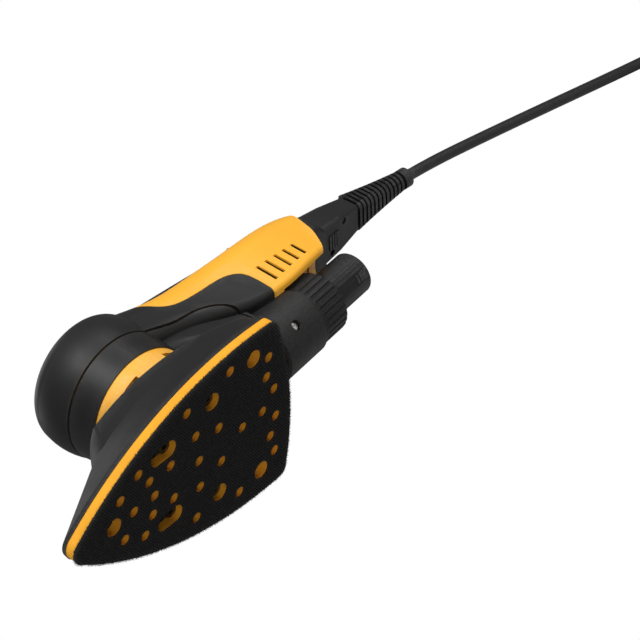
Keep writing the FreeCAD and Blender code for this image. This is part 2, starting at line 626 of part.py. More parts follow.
def make_body():
    outer = body(0.0)
    middle_out = body(SKIN_T)
    middle_in = body(SKIN_T + FIT)
    inner = body(SKIN_T + SHELL_T)
    yellow = yellow_region(SEAM / 2)
    casing = casing_region(GROOVE)
    print("body outline", outer.isValid(), middle_in.isValid(), inner.isValid(), round(outer.Volume))

    pocket = top_pocket()
    cap_seat = cyl(CAP_R + FIT, HEAD_TOP_Z - 1.0, HEAD_TOP_Z + 5)
    ring_space = cyl(RING_R + FIT, 0.0, RING_TOP)
    skin = outer.cut(middle_out).cut(ring_space)
    not_yellow = skin.cut(yellow_region(-SEAM / 2)).cut(barrel_space())
    mould = not_yellow.cut(casing_region(0.0)).cut(cap_seat)
    save("grip_overmould", largest(mould.cut(collar_recess(0.0)).cut(pocket)))
    save("lower_casing", not_yellow.common(casing))

    shell = middle_in.cut(inner)
    shell = shell.cut(ring_space)
    rim = outer.cut(inner).common(yellow)
    housing = shell.cut(yellow_region(2.0)).fuse(rim).cut(barrel_space())
    roof = rod(COLLAR_R + 2.4 + SHELL_T, outlet_point(-1.0), outlet_point(90.0))
    housing = housing.fuse(roof.common(outer).common(yellow))
    for y, z in BOSS_SPOTS:
        housing = housing.fuse(rod(BOSS_R, V(-40, y, z), V(40, y, z)).common(inner))
    housing = housing.fuse(pocket_tray().common(body(SKIN_T + SHELL_T - 0.2)))
    housing = housing.cut(collar_recess(0.0)).cut(pocket).cut(side_slots()).cut(roof_slots()).cut(lever_pin(0.0))
    housing = housing.cut(rear_region())
    housing = housing.cut(keypad_recess()).cut(cap_seat)
    for x, y, r in list(KEY_SPOTS.values()) + [(0.0, LENS_Y, LENS_R)]:
        housing = housing.cut(cyl(r + 0.6, 80.0, 95.0, x, y))
    screws = []
    for y, z in BOSS_SPOTS:
        housing = housing.cut(rod(CASE_SCREW_R, V(-40, y, z), V(12, y, z)))
        face = -handle_half(y, z) + 1.4
        housing = housing.cut(rod(3.1, V(-40, y, z), V(face, y, z)))
        head_disc = rod(2.7, V(face - 1.3, y, z), V(face, y, z)).cut(rod(1.1, V(face - 2, y, z), V(face - 0.6, y, z)))
        screws.append(head_disc.fuse(rod(CASE_SCREW_R, V(face - 0.4, y, z), V(12, y, z))).removeSplitter())
    halves = {"housing_left": block(0.05, 80, -90, 230, 0, 130), "housing_right": block(-80, -0.05, -90, 230, 0, 130)}
    for name, half in halves.items():
        save(name, housing.common(half))
    save("case_screws", Part.makeCompound(screws))
    screens = side_slots().common(body(SCREEN_DEPTH)).cut(collar_recess(SHELL_T))
    save("vent_screens", screens)


def handle_half(y, z):
    """Half width of the handle at y and z, between the stated stations."""
    for a, b in zip(HANDLE, HANDLE[1:]):
        if a[0] <= y <= b[0]:
            low, high, z0, z1 = [slope_z(y, a[0], a[i], b[0], b[i]) for i in (1, 2, 3, 4)]
            return slope_z(z, z0, low, z1, high)
    raise ValueError("outside the handle")


def roof_slots():
    """Vent slots across the roof of the channel over the swivel collar."""
    bars = [block(-9.0, 9.0, y, y + 2.4, 48.0, 66.0) for y in (112.0, 118.0, 124.0, 130.0, 136.0)]
    return Part.makeCompound(bars)


# ---- head cap, lever and keypad -----------------------------------------------------------------------
def make_top():
    low, high = HEAD_TOP_Z - 1.0, HEAD_TOP_Z + CAP_T
    outline = [V(0, 0, low), V(CAP_R, 0, low), V(CAP_R, 0, HEAD_TOP_Z + 0.8), V(CAP_R - 2.0, 0, high),
               V(CAP_R - 7.0, 0, high), V(CAP_R - 8.0, 0, high - 0.8), V(0, 0, high - 0.8)]
    save("top_cap", Part.Face(Part.makePolygon(outline + [outline[0]])).revolve(V(0, 0, 0), V(0, 0, 1), 360))

    rear, barrel_z = LEVER_PIVOT_Y + 1.0, LEVER_PIVOT_Z
    under = [(LEVER_FRONT_Y, LEVER_FRONT_Z), (FOOT_Y, LEVER_MID_Z), (rear, barrel_z + 0.4)]
    top = [(rear, barrel_z + 0.4 + LEVER_T * 0.8), (FOOT_Y, LEVER_MID_Z + LEVER_T + 0.4),
           (LEVER_FRONT_Y + 3.0, LEVER_FRONT_Z + LEVER_T)]
    p = [V(-LEVER_HALF, y, z) for y, z in under + top]
    edges = [arc(p[0], p[1], p[2]), line(p[2], p[3]), arc(p[3], p[4], p[5]), line(p[5], p[0])]
    plate = Part.Face(Part.Wire(edges)).extrude(V(2 * LEVER_HALF, 0, 0))
    plan = cyl(LEVER_HALF, 80, 110, 0, LEVER_FRONT_Y + LEVER_HALF - 1.0)
    plan = plan.fuse(block(-LEVER_HALF, LEVER_HALF, LEVER_FRONT_Y + LEVER_HALF - 1.0, rear, 80, 110))
    # the front end follows the round head with a gap
    plate = plate.common(plan).cut(cyl(HEAD_R + 1.2, 60, 120))
    barrel = rod(LEVER_BARREL_R, V(-LEVER_HALF, LEVER_PIVOT_Y, barrel_z), V(LEVER_HALF, LEVER_PIVOT_Y, barrel_z))
    foot = block(-3.0, 3.0, FOOT_Y - 2.0, FOOT_Y + 2.0, FOOT_Z, LEVER_MID_Z + 1.0)
    lever = fuse([plate, barrel, foot]).cut(lever_pin(RUN_FIT))
    save("paddle_lever", lever)
    save("lever_pin", lever_pin(0.0))

    helix = Part.makeHelix(1.3, SPRING_TOP_Z - POCKET_Z - 1.0, 3.0)
    start = Part.Wire(Part.makeCircle(0.4, V(3.0, 0, 0), V(0, 1, 0)))
    coil = Part.Wire(helix).makePipeShell([start], True, True)
    coil.translate(V(0, SPRING_Y, POCKET_Z + 0.5))
    save("lever_spring", coil)

    plate = keypad_plate()
    for x, y, r in KEY_SPOTS.values():
        plate = plate.cut(cyl(r + RUN_FIT, 80, 95, x, y))
    plate = plate.cut(cyl(LENS_R, 80, 95, 0, LENS_Y))
    save("keypad_plate", plate)
    save("status_lens", cyl(LENS_R, keypad_z(LENS_Y) - 1.7, keypad_z(LENS_Y) + 0.2, 0, LENS_Y))
    for name, (x, y, r) in KEY_SPOTS.items():
        z = keypad_z(y)
        save(name, revolve([(0, z - 2.6), (r, z - 2.6), (r, z + BUTTON_RISE - 0.5), (r - 0.5, z + BUTTON_RISE),
                            (0, z + BUTTON_RISE)], V(x, y, 0)))


# ---- electronics inside the handle --------------------------------------------------------------------
def make_inside():
    board = block(-15.0, 15.0, 64.0, 136.0, 67.6, 69.2)
    save("control_board", board)
    save("micro_switch", block(-4.5, 4.5, 66.0, 78.0, 69.2, SWITCH_TOP_Z).cut(rod(1.0, V(-9, 69, 73), V(9, 69, 73))))
    can = rod(5.5, V(8.0, 98.0, 74.7), V(8.0, 122.0, 74.7))
    save("capacitor", can)
    fins = [block(-14.0, -2.0, 98.0, 126.0, 69.2, 71.0)]
    fins += [block(x, x + 1.2, 98.0, 126.0, 71.0, 80.0) for x in (-14.0, -11.3, -8.6, -5.9, -3.2)]
    save("heat_sink", fuse(fins))


# ---- dust outlet --------------------------------------------------------------------------------------
def make_outlet():
    tube = rod(BARREL_R, outlet_point(-BARREL_L), outlet_point(0.0))
    bore = rod(BARREL_R - BARREL_WALL, outlet_point(-BARREL_L - 1), outlet_point(-1.6))
    mouth = rod(TUBE_R + RUN_FIT, outlet_point(-5.0), outlet_point(1.0))
    barrel = tube.cut(bore).cut(mouth)
    screws = []
    for side in (1, -1):
        a = math.radians(-40.0)
        out = V(side * math.cos(a), 0, 0) + OUTLET_UP * math.sin(a)
        spot = outlet_point(-17.0, out * (BARREL_R - 3.4))
        boss = rod(4.2, spot - out * 3.0, spot + out * 4.0)
        barrel = barrel.fuse(boss.common(tube))
        barrel = barrel.cut(rod(2.8, spot, spot + out * 6)).cut(rod(CASE_SCREW_R, spot - out * 6, spot + out))
        disc = rod(2.1, spot, spot + out * 1.3).cut(rod(0.9, spot + out * 0.6, spot + out * 3))
        screws.append(disc.fuse(rod(CASE_SCREW_R, spot - out * 3.0, spot + out * 0.3)).removeSplitter())
    save("outlet_barrel", barrel.removeSplitter())
    save("outlet_screws", Part.makeCompound(screws))

    pipe = rod(TUBE_R, outlet_point(-4.0), outlet_point(TUBE_L))
    flange = rod(BARREL_R - BARREL_WALL - 0.4, outlet_point(-4.0), outlet_point(-1.9))
    pipe = pipe.fuse(flange).cut(rod(TUBE_R - TUBE_WALL, outlet_point(-5.0), outlet_point(TUBE_L + 1)))
    for along in HOSE_SLOTS:
        for side in (1, -1):
            out = V(side * 0.5, 0, 0) - OUTLET_UP * math.sqrt(0.75)
            spot = outlet_point(along, out * (TUBE_R - 0.2))
            run = OUTLET_AXIS.cross(out)
            pipe = pipe.cut(Part.makeCylinder(0.6, 6.0, spot - run * 3.0, run))
    save("hose_connector", pipe.removeSplitter())

    sleeve = revolve([(TUBE_R, COLLAR_GAP), (COLLAR_R - 1.0, COLLAR_GAP), (COLLAR_R, COLLAR_GAP + 1.2),
                      (COLLAR_R, COLLAR_L - 4.0), (TUBE_R + 1.6, COLLAR_L), (TUBE_R, COLLAR_L)],
                     outlet_point(0.0), OUTLET_AXIS)
    grooves = []
    for k in range(COLLAR_RIBS):
        a = 2 * math.pi * k / COLLAR_RIBS
        out = V(math.cos(a), 0, 0) + OUTLET_UP * math.sin(a)
        edge = out * (COLLAR_R + 0.2)
        grooves.append(rod(0.85, outlet_point(3.4, edge), outlet_point(COLLAR_L + 6.0, edge)))
    save("swivel_collar", sleeve.cut(Part.makeCompound(grooves)))

    seal = revolve([(TUBE_R + RUN_FIT, -5.6), (BARREL_R - BARREL_WALL, -5.6), (BARREL_R - BARREL_WALL, -4.4),
                    (TUBE_R + RUN_FIT, -4.4)], outlet_point(0.0), OUTLET_AXIS)
    save("outlet_seal", seal)


# ---- mains inlet and lead plug ------------------------------------------------------------------------
def make_inlet():
    inside = loft([(INLET_Y, 16.6, 62.0, 80.5, 3, 6), (HANDLE_END_Y + 1.0, 16.6, 62.0, 80.5, 3, 6)], 0, True)
    face = loft([(HANDLE_END_Y - 9.0, 21.0, 60.8, 84.3, 4, 11), (HANDLE_END_Y, 21.0, 60.8, 84.3, 4, 11),
                 (INLET_END_Y, 14.0, 62.6, 86.0, 3, 6)], 0, True)
    face = face.common(rear_region(SEAM))
    socket = loft([(INLET_Y + 4.0, 9.6, 67.6, 81.4, 2, 5), (INLET_END_Y + 1.0, 9.6, 67.6, 81.4, 2, 5)], 0, True)
    pins = [rod(1.2, V(x, INLET_Y + 1.0, 74.5), V(x, INLET_END_Y - 3.0, 74.5)) for x in (-4.0, 4.0)]
    save("inlet_housing", fuse([inside, face]).cut(socket).cut(Part.makeCompound(pins)))
    save("inlet_pins", Part.makeCompound(pins))

    front = INLET_END_Y + 0.3
    shell = loft([(front, 13.2, 64.6, 86.2, 2.4, 6), (front + 16.0, 11.6, 65.4, 85.4, 2.4, 6),
                  (PLUG_END_Y, 8.9, 67.4, 83.2, 2.4, 5)], 0, True)
    spigot = loft([(INLET_Y + 5.0, 9.3, 67.9, 81.1, 2, 5), (front + 1.0, 9.3, 67.9, 81.1, 2, 5)], 0, True)
    plug = shell.fuse(spigot)
    for x in (-4.0, 4.0):
        plug = plug.cut(rod(1.4, V(x, INLET_Y, 74.5), V(x, INLET_END_Y - 2.0, 74.5)))
    plug = plug.cut(block(-LATCH_HALF - 0.4, LATCH_HALF + 0.4, 163.6, 172.4, 60.0, 67.6))
    screws = []
    for x, y in ((7.4, 178.0), (-7.4, 166.5)):
        plug = plug.cut(cyl(1.9, 60.0, 68.0, x, y)).cut(cyl(1.0, 67.0, 76.0, x, y))
        screws.append(cyl(1.7, 67.0, 68.0, x, y).fuse(cyl(1.0, 67.5, 75.0, x, y)).removeSplitter())
    save("lead_plug", plug.removeSplitter())
    save("plug_screws", Part.makeCompound(screws))
    pad = block(-LATCH_HALF, LATCH_HALF, 164.0, 172.0, 64.4, 66.6)
    for y in (165.6, 167.6, 169.6):
        pad = pad.cut(block(-LATCH_HALF - 1, LATCH_HALF + 1, y, y + 0.8, 64.0, 64.8))
    save("plug_latch", pad)


def make_relief():
    """Ribbed strain relief: a soft cone with square-cornered ribs that get rounder and smaller."""
    pieces = []
    for k in range(RELIEF_RIBS):
        s = k / (RELIEF_RIBS - 1.0)
        y0 = 1.6 + k * 3.45
        w, h = 9.2 - 3.0 * s, 8.4 - 2.6 * s
        r = 3.0 + (min(w, h) - 3.4) * s
        pieces.append(loft([(y0, w, -h, h, r, r), (y0 + 2.1, w - 0.2, -h + 0.2, h - 0.2, r, r)], 0, True))
    core = loft([(0.0, 7.6, -6.8, 6.8, 3.0, 3.0), (RELIEF_L - 5.0, 4.4, -4.4, 4.4, 4.2, 4.2)], 0, True)
    end = Part.makeCylinder(5.9, 5.6, V(0, RELIEF_L - 5.6, 0), V(0, 1, 0))
    relief = fuse([core] + pieces + [end])
    relief.rotate(V(0, 0, 0), V(1, 0, 0), -RELIEF_TILT)
    relief.translate(V(0, PLUG_END_Y, PLUG_AXIS_Z))
    front = block(-20, 20, PLUG_END_Y - 5.0, PLUG_END_Y, 50, 100)
    save("strain_relief", relief.cut(front))


# ---- lead ---------------------------------------------------------------------------------------------
def relief_end():
    a = math.radians(RELIEF_TILT)
    return (0.0, PLUG_END_Y + RELIEF_L * math.cos(a), PLUG_AXIS_Z - RELIEF_L * math.sin(a))


LEAD_ROUTE = [relief_end(), (0.0, 260.0, 69.8), (0.0, 296.0, 62.6), (0.0, 345.0, 51.9), (0.0, 400.0, 39.4),
              (0.0, 440.0, 30.8), (0.0, 468.0, 26.4), (0.0, COIL_Y, COIL_TOP_Z)]
TAIL_ROUTE = [(0.0, COIL_Y, COIL_LOW_Z), (0.5, 502.5, 4.7), (2.4, 514.5, 6.2), (5.4, 526.0, 8.4), (8.4, 537.0, 9.2)]


def bent_tube(name, route, d):
    """Tube of diameter d along straight runs joined by tangent arcs as large as the runs allow."""
    p = [V(*q) for q in route]
    edges, start, radii, length = [], p[0], [], 0.0
    for a, b, c in zip(p, p[1:], p[2:]):
        run_in, run_out = (b - a).normalize(), (c - b).normalize()
        turn = run_in.getAngle(run_out)
        back = 0.45 * min((b - a).Length, (c - b).Length)
        radius = back / math.tan(turn / 2)
        t0, t1 = b - run_in * back, b + run_out * back
        inward = (run_out - run_in).normalize()
        middle = b + inward * (radius / math.cos(turn / 2) - radius)
        edges += [line(start, t0), arc(t0, middle, t1)]
        length += (t0 - start).Length + radius * turn
        start = t1
        radii.append(round(radius, 1))
    edges.append(line(start, p[-1]))
    length += (p[-1] - start).Length
    path = Part.Wire(edges)
    ring = Part.Wire(Part.makeCircle(d / 2, p[0], p[1] - p[0]))
    tube = path.makePipeShell([ring], True, True)
    share = tube.Volume / (math.pi * d * d / 4 * length)
    print("%s length %.1f radii %s volume share %.4f" % (name, length, radii, share))
    save(name, tube)
    return length


def coil_length():
    """Length of the coiled cord: turns whose radius swings between the inner and outer one."""
    turns = COIL_LAYERS * (COIL_LAYER_TURNS - COIL_STEP)
    steps = COIL_STEP * (2 * COIL_IN_R * 2 + 2 * COIL_OUT_R * 2) / 4
    return 2 * math.pi * (turns * (COIL_IN_R + COIL_OUT_R) / 2 + steps)


def make_lead():
    total = bent_tube("lead_tube", LEAD_ROUTE, LEAD_D)
    total += bent_tube("lead_tail", TAIL_ROUTE, LEAD_D)
    total += coil_length()
    print("lead length", round(total), "coil", round(coil_length()))
    edge = 2.0
    r0, r1 = COIL_IN_R - LEAD_D / 2 - 0.2, COIL_OUT_R + LEAD_D / 2 + 0.2
    z0, z1 = REST_Z, COIL_TOP_Z + LEAD_D / 2 + 0.2
    ring = revolve([(r0, z0 + edge), (r0 + edge, z0), (r1 - edge, z0), (r1, z0 + edge), (r1, z1 - edge),
                    (r1 - edge, z1), (r0 + edge, z1), (r0, z1 - edge)], V(COIL_X, COIL_Y, 0))
    save("lead_coil", ring)
    tie_half = 6.0
    gap = 0.1
    outside = block(r0 - gap - REST_Z, r1 + gap + REST_Z, -tie_half, tie_half, 0.0, z1 + gap + REST_Z)
    inside = block(r0 - gap, r1 + gap, -tie_half - 1, tie_half + 1, z0 - 0.0, z1 + gap)
    tie = outside.cut(inside)
    tie.rotate(V(0, 0, 0), V(0, 0, 1), 125.0)
    tie.translate(V(COIL_X, COIL_Y, 0))
    save("coil_tie", tie.cut(ring))

    neck_l, shoulder_l, body_l = 17.0, 6.0, PLUG_BODY_L
    neck = Part.makeCone(5.2, 7.4, neck_l + 1.0, V(0, 0, 0), V(0, 1, 0))
    body_block = loft([(neck_l, 11.0, -8.6, 8.6, 8.0, 8.0), (neck_l + shoulder_l, 17.4, -9.0, 9.0, 8.4, 8.4),
                       (body_l, 17.6, -9.0, 9.0, 8.4, 8.4)], 0, True)
    plug = neck.fuse(body_block).removeSplitter()
    pins = [rod(2.4, V(x, body_l - 8.0, 0), V(x, body_l + PLUG_PIN_L, 0)) for x in (-9.5, 9.5)]
    for pin in pins:
        plug = plug.cut(pin)
    pins = Part.makeCompound(pins)
    for shape in (plug, pins):
        shape.rotate(V(0, 0, 0), V(0, 0, 1), -MAINS_PLUG_TURN)
        shape.translate(V(*TAIL_ROUTE[-1]))
    save("mains_plug", plug)
    save("mains_plug_pins", pins)


# ---- run ----------------------------------------------------------------------------------------------
make_pad()
make_motor()
make_body()
make_top()
make_inside()
make_outlet()
make_inlet()
make_relief()
make_lead()
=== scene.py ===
import json
import math

import bpy
import numpy as np
from mathutils import Matrix, Vector


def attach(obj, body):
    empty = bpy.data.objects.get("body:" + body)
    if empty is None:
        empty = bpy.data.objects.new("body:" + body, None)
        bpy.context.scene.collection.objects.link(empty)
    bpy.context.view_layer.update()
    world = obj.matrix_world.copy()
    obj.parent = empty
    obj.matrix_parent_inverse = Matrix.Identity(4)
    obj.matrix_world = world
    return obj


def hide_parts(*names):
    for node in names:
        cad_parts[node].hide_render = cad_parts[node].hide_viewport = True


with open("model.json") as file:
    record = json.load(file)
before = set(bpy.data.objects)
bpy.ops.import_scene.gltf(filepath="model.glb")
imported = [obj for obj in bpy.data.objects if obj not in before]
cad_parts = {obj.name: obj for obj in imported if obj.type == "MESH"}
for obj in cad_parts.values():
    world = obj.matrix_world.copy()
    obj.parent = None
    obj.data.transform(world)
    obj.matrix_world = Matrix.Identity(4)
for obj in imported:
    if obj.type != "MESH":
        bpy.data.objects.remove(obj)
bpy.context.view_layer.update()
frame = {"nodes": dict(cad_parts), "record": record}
nodes = frame["nodes"]

MM = 0.001

# ---- values, in millimetres unless said otherwise -----------------------------------------------------
# camera, in metres
CAMERA_AT = Vector((0.6753, -0.5313, -0.5420))
CAMERA_RIGHT = Vector((-0.03246, 0.64428, -0.76571))
CAMERA_UP = Vector((0.78484, 0.49096, 0.37962))
CAMERA_LENS = 116.95
SENSOR = 36.0           # millimetres, as the lens
CLIP_NEAR, CLIP_FAR = 0.01, 20.0

# lead
LEAD_D = 6.8
LEAD_ROUTE = [(0.0, 240.881, 71.782), (0.0, 260.0, 69.8), (0.0, 296.0, 62.6), (0.0, 345.0, 51.9),
              (0.0, 400.0, 39.4), (0.0, 440.0, 30.8), (0.0, 468.0, 26.4)]
TAIL_ROUTE = [(0.5, 502.5, 4.7), (2.4, 514.5, 6.2), (5.4, 526.0, 8.4), (8.4, 537.0, 9.2)]
COIL_Y = 490.0
COIL_PITCH = 1.04 * LEAD_D
COIL_LAYERS = 4
COIL_LAYER_TURNS = 4
COIL_STEP = 0.25        # share of a turn in which the lead steps to the next layer
COIL_IN_R = 27.5
COIL_OUT_R = COIL_IN_R + (COIL_LAYER_TURNS - COIL_STEP) * COIL_PITCH
COIL_X = -COIL_OUT_R
REST_Z = 1.0            # underside of the coil: the tie's thickness
COIL_LOW_Z = REST_Z + LEAD_D / 2
COIL_POINTS = 16        # points of the curve in each turn

# pad and its hook sheet
PAD_FRONT, PAD_BACK, PAD_HALF, TIP_HALF = 96.0, 56.0, 50.0, 6.5
SHEET_TOP, SHEET_LOW = 1.3, 0.75    # faces of the sheet's backing; the hooks stand below it
ROW_PITCH, HOOK_PITCH = 1.25, 0.95
ROW_TURN = math.radians(146.0)
ROWS_EACH_WAY, HOOKS_EACH_WAY = 120, 160    # enough to pass the outline, which trims them
ROW_SCATTER, HOOK_SCATTER = 0.05, 0.10
HOOK_EDGE_GAP, HOOK_HOLE_GAP = 0.5, 0.35
ROOT_DEPTH = 0.05       # of a hook's root above the backing's lower face
HOOK_LEAN, LEAN_SCATTER = 0.30, 0.16
HOOK_DROP = (-0.76, -0.62)      # from a hook's root to its tip
BEND_LEAN, BEND_DROP = 0.2, -0.66   # share of the lean at a hook's bend, and its height from the root
HOOK_HALF_W, FRINGE_HALF_W = 0.17, 0.07
FRINGE_HAIRS = 5200
FRINGE_INSET = 0.25
FRINGE_REACH = (0.5, 1.5)
FRINGE_DRIFT = 0.35     # scatter along the edge
FRINGE_LOW_Z, FRINGE_TOP_Z = 0.1, 1.5
TIP_SCATTER = 0.25
BEND_RISE, BEND_SCATTER = 0.1, 0.15
BEND_REACH = 0.6        # share of a hair's reach at which it bends
AXIS_HOLES = [(-69.6, "big"), (-56.2, "small"), (-42.1, "small"), (-10.9, "small"), (20.4, "small"),
              (35.5, "small")]
PAIR_HOLES = [(12.4, -63.9, "small"), (19.6, -50.9, "small"), (10.6, -44.5, "small"), (20.9, -33.7, "slot"),
              (10.5, -29.9, "small"), (33.8, -16.1, "small"), (16.3, -11.8, "small"), (29.4, 1.3, "big"),
              (10.8, 4.2, "small"), (39.3, 15.0, "small"), (36.3, 31.7, "big"), (19.4, 40.0, "small"),
              (30.5, 42.4, "small"), (8.8, 44.8, "small")]
SMALL_HOLE_R, BIG_HOLE_R, SLOT_LENGTH = 2.9, 4.9, 17.5

# vent slots of the handle and the dark plates in them, which paint shade into the slots
SLOT_COUNT, SLOT_FIRST_Y, SLOT_PITCH, SLOT_W = 5, 99.5, 6.6, 2.2
SLOT_TOP_Z, SLOT_LOW_Z = 59.5, 45.4
SLOT_TOP_STEP, SLOT_LOW_STEP = -0.2, 0.75   # from each slot to the next one to the rear
# the plates below are painted shade: near-black sheets that darken the vent slots
SLOT_SHADE_DEPTH = 1.0       # below the handle's surface
SLOT_SHADE_BOW = 0.15        # how much deeper the middle is
SLOT_SHADE_GAP = 0.02        # to the slot's walls
SLOT_SHADE_STEPS = 8         # pieces along each slot
HANDLE_AT_Y = (100.0, 126.0)
HANDLE_AT_Z = (40.5, 90.0)
HANDLE_LOW_HALF = (23.8, 23.6)      # half widths at the lower height, at both places along Y
HANDLE_HIGH_HALF = (28.0, 27.0)     # half widths at the upper height

# floor and light, in metres and watts
FLOOR_HALF = 3.0
FLOOR_COLOR, FLOOR_DRIFT_COLOR = (0.86, 0.86, 0.86), (0.80, 0.80, 0.80)
FILL = 0.20             # strength of the backdrop as a light
LIT_AT = (0.0, 0.05, 0.04)
LAMPS = {               # place, size and power
    "key": ((1.0, -0.35, 0.35), (0.6, 0.6), 7.0),
    "side": ((1.2, 0.6, 0.15), (0.35, 1.1), 5.5),
    "below": ((0.35, -0.7, -0.9), (0.8, 0.5), 4.2),
    "top": ((-0.3, -0.1, 1.2), (0.5, 1.2), 3.2),
}

# looks: colours are linear and depths are in metres; the grain of MOULDED is in metres too, and that of
# METALS is a scale along each axis
WAVE_PERIOD = 0.314     # distance between the wave texture's bands at a scale of 1
NOISE_ROUGHNESS = 0.55
EDGE_FROM, EDGE_TO = 0.52, 0.60     # pointiness at which wear starts and is complete
YELLOW = (0.985, 0.470, 0.028)
MOULDED = {
    "yellow_plastic": dict(color=YELLOW, roughness=0.42, grain=0.0009, depth=0.00001, wear=0.10,
                           shade=0.05, Specular_IOR_Level=0.45),
    "hard_black": dict(color=(0.0090, 0.0090, 0.0092), roughness=0.46, grain=0.0005, depth=0.000005,
                       wear=0.012, Specular_IOR_Level=0.38),
    "soft_black": dict(color=(0.0095, 0.0095, 0.0097), roughness=0.50, grain=0.0005, depth=0.00001,
                       wear=0.02, Specular_IOR_Level=0.38),
    "cap_black": dict(color=(0.006, 0.006, 0.0062), roughness=0.42, grain=0.0006, depth=0.00001,
                      Specular_IOR_Level=0.4),
    "pad_black": dict(color=(0.0090, 0.0090, 0.0092), roughness=0.55, grain=0.0005, depth=0.000012,
                      wear=0.03, Specular_IOR_Level=0.33),
    "connector_black": dict(color=(0.006, 0.006, 0.0062), roughness=0.45, grain=0.0005, depth=0.00001,
                            Specular_IOR_Level=0.38),
    "collar_black": dict(color=(0.006, 0.006, 0.0062), roughness=0.50, grain=0.0005, depth=0.00001,
                         wear=0.03, Specular_IOR_Level=0.36),
    "plug_black": dict(color=(0.010, 0.010, 0.0102), roughness=0.46, grain=0.0005, depth=0.000012,
                       wear=0.03, Specular_IOR_Level=0.4),
    "relief_rubber": dict(color=(0.004, 0.004, 0.0042), roughness=0.42, grain=0.0004, depth=0.00001,
                          Specular_IOR_Level=0.4),
    "plug_rubber": dict(color=(0.008, 0.008, 0.0085), roughness=0.48, grain=0.0005, depth=0.00001,
                        Specular_IOR_Level=0.4),
    "button_black": dict(color=(0.02, 0.02, 0.021), roughness=0.60, grain=0.0004, depth=0.00001),
    "switch_black": dict(color=(0.03, 0.03, 0.035), roughness=0.45),
    # screen_black colours the near-black plates that paint shade into the vent slots
    "screen_black": dict(color=(0.002, 0.002, 0.002), roughness=0.90, Specular_IOR_Level=0.1),
    "support_rubber": dict(color=(0.008, 0.008, 0.008), roughness=0.65, Specular_IOR_Level=0.3),
    "lead_rubber": dict(color=(0.007, 0.007, 0.0073), roughness=0.34, grain=0.0008, depth=0.00001,
                        Specular_IOR_Level=0.5),
    "lens_green": dict(color=(0.12, 0.55, 0.16), roughness=0.18, grain=0.0006, depth=0.000004),
    "circuit_board": dict(color=(0.02, 0.16, 0.05), roughness=0.30, grain=0.0007),
}
METALS = {
    "capacitor_can": dict(color=(0.10, 0.14, 0.30), roughness=0.35),
    "cast_aluminium": dict(color=(0.72, 0.72, 0.73), roughness=0.42, grain=(1, 1, 1), depth=0.00002),
    "bearing_steel": dict(color=(0.60, 0.60, 0.62), roughness=0.22),
    "shaft_steel": dict(color=(0.60, 0.60, 0.62), roughness=0.25),
    "cast_weight": dict(color=(0.28, 0.28, 0.29), roughness=0.55, grain=(1, 1, 1), depth=0.00004),
    "lamination_steel": dict(color=(0.40, 0.41, 0.43), roughness=0.40, grain=(0.1, 0.1, 2.0)),
    "magnet_plating": dict(color=(0.66, 0.66, 0.68), roughness=0.20),
    "copper_wire": dict(color=(0.70, 0.29, 0.12), roughness=0.30, grain=(0.2, 0.2, 3.0), depth=0.00006),
    "spring_wire": dict(color=(0.55, 0.55, 0.57), roughness=0.28),
    "bright_screw": dict(color=(0.80, 0.80, 0.82), roughness=0.20),
    "dark_screw": dict(color=(0.06, 0.06, 0.065), roughness=0.40),
    "pin_brass": dict(color=(0.76, 0.60, 0.30), roughness=0.24),
}


# ---- camera -------------------------------------------------------------------------------------------


def make_camera():
    data = bpy.data.cameras.new("camera")
    data.lens = CAMERA_LENS
    data.sensor_width = SENSOR
    data.clip_start = CLIP_NEAR
    data.clip_end = CLIP_FAR
    camera = bpy.data.objects.new("camera", data)
    bpy.context.scene.collection.objects.link(camera)
    right = CAMERA_RIGHT.normalized()
    up = (CAMERA_UP - right * CAMERA_UP.dot(right)).normalized()
    back = right.cross(up)
    turn = Matrix((right, up, back)).transposed()
    camera.matrix_world = Matrix.Translation(CAMERA_AT) @ turn.to_4x4()
    bpy.context.scene.camera = camera


# ---- lead ---------------------------------------------------------------------------------------------


def coil_points():
    """Turns of the stored lead, from the top layer's outside to the bottom layer's outside."""
    points = []
    spiral = COIL_LAYER_TURNS - COIL_STEP
    total = COIL_LAYERS * COIL_LAYER_TURNS * COIL_POINTS
    for i in range(total + 1):
        layer, turn = divmod(i / COIL_POINTS, COIL_LAYER_TURNS)
        if layer >= COIL_LAYERS:
            layer, turn = COIL_LAYERS - 1, COIL_LAYER_TURNS
        reach = min(turn / spiral, 1.0)
        inward = layer % 2 == 0
        start, end = (COIL_OUT_R, COIL_IN_R) if inward else (COIL_IN_R, COIL_OUT_R)
        radius = start + (end - start) * reach
        step = max(turn - spiral, 0.0) / COIL_STEP
        drop = layer + step if layer < COIL_LAYERS - 1 else layer
        z = COIL_LOW_Z + (COIL_LAYERS - 1 - drop) * COIL_PITCH
        a = 2 * math.pi * i / COIL_POINTS
        points.append((COIL_X + radius * math.cos(a), COIL_Y + radius * math.sin(a), z))
    return points


def make_lead(material):
    points = LEAD_ROUTE + coil_points() + TAIL_ROUTE
    curve = bpy.data.curves.new("mains_lead", "CURVE")
    curve.dimensions = "3D"
    spline = curve.splines.new("NURBS")
    spline.points.add(len(points) - 1)
    for point, (x, y, z) in zip(spline.points, points):
        point.co = (x * MM, y * MM, z * MM, 1.0)
    spline.order_u = 3
    spline.use_endpoint_u = True
    spline.resolution_u = 6
    curve.bevel_depth = LEAD_D / 2 * MM
    curve.bevel_resolution = 5
    curve.use_fill_caps = True
    lead = bpy.data.objects.new("mains_lead", curve)
    bpy.context.scene.collection.objects.link(lead)
    curve.materials.append(material)
    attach(lead, "housing")
    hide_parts("lead_tube", "lead_coil", "lead_tail")


# ---- materials ----------------------------------------------------------------------------------------


